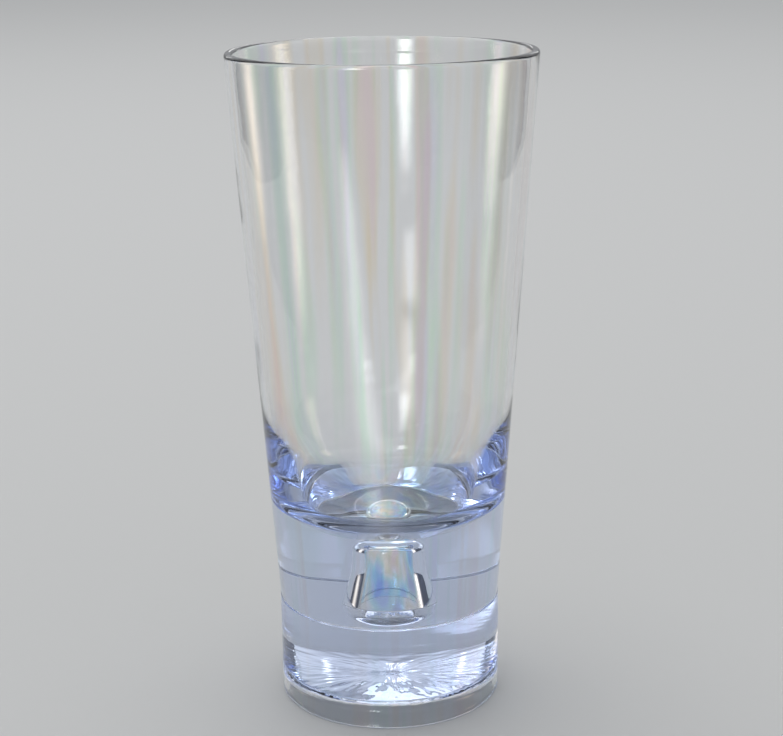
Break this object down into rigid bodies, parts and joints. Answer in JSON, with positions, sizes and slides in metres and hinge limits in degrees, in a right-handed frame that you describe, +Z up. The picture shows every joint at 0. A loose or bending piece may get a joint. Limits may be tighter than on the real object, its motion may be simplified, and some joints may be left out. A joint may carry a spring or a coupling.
{
  "type": "plastic beer glass",
  "caption": "Tall clear plastic beer glass: straight conical wall, bowl-shaped floor over a sealed bell-shaped bubble, bonded to a thick foot with a recessed underside.",
  "frame": {"origin": "centre of the flat ring that the foot stands on", "axes": "+Z up along the axis of the glass, towards the rim; the glass is round, so X and Y are free"},
  "size_m": [0.0828, 0.0828, 0.18],
  "materials": {
    "clear_plastic": "polished clear moulded plastic with a slight blue cast",
    "clear_plastic_foot": "polished clear moulded plastic with a slight blue cast",
    "clear_cement": "cured clear cement"
  },
  "bodies": {
    "root": {"cup_body": "clear_plastic", "foot": "clear_plastic_foot", "bond_ring": "clear_cement"}
  },
  "joints": []
}
